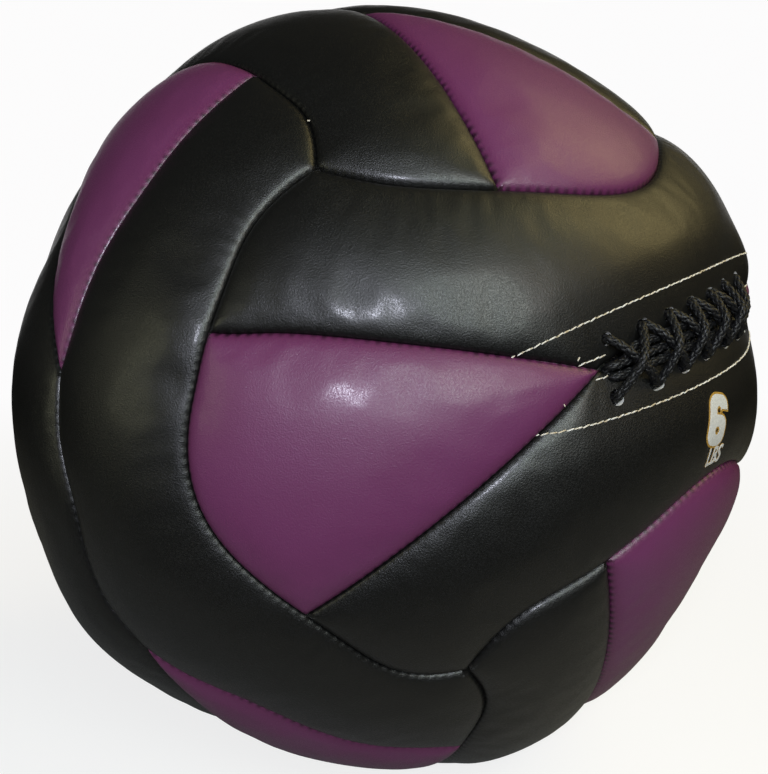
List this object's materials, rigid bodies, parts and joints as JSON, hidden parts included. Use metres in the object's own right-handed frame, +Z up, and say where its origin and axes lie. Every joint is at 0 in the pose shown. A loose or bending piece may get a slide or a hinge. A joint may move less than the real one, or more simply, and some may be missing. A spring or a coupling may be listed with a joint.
{
  "type": "wall ball",
  "caption": "Soft stuffed ball sewn from curved bands and wedges of padded leather, with a laced mouth, lying on a flattened underside.",
  "frame": {"origin": "centre of the flat under the ball, on the floor that it lies on", "axes": "+Z up off the floor; -Y towards the laced mouth, which looks forward and a little up; +X to the right of someone facing the mouth"},
  "size_m": [0.3622, 0.3642, 0.3572],
  "materials": {
    "black_leather": "satin coated leather, fine grain",
    "purple_leather": "satin coated leather, fine grain",
    "facing_leather": "matt backing strip",
    "lace_cord": "round braided cord",
    "tongue_web": "woven cloth",
    "lining_cloth": "knitted cloth",
    "stuffing": "packed fibre",
    "pouch_cloth": "close woven cloth",
    "sand": "dry sand"
  },
  "bodies": {
    "root": {"back_band_lower": "black_leather", "back_band_upper": "black_leather", "back_wedge_left": "purple_leather", "back_wedge_right": "purple_leather", "bottom_band_left": "black_leather", "bottom_band_right": "black_leather", "bottom_wedge_front": "purple_leather", "bottom_wedge_rear": "purple_leather", "front_band_lower": "black_leather", "front_band_upper": "black_leather", "front_wedge_left": "purple_leather", "front_wedge_right": "purple_leather", "lace": "lace_cord", "left_band_front": "black_leather", "left_band_rear": "black_leather", "left_wedge_bottom": "purple_leather", "left_wedge_top": "purple_leather", "lining": "lining_cloth", "mouth_facing_lower": "facing_leather", "mouth_facing_upper": "facing_leather", "mouth_tongue": "tongue_web", "pouch_tie": "lace_cord", "right_band_front": "black_leather", "right_band_rear": "black_leather", "right_wedge_bottom": "purple_leather", "right_wedge_top": "purple_leather", "sand": "sand", "sand_pouch": "pouch_cloth", "stuffing_front": "stuffing", "stuffing_rear": "stuffing", "top_band_left": "black_leather", "top_band_right": "black_leather", "top_wedge_front": "purple_leather", "top_wedge_rear": "purple_leather"}
  },
  "joints": []
}
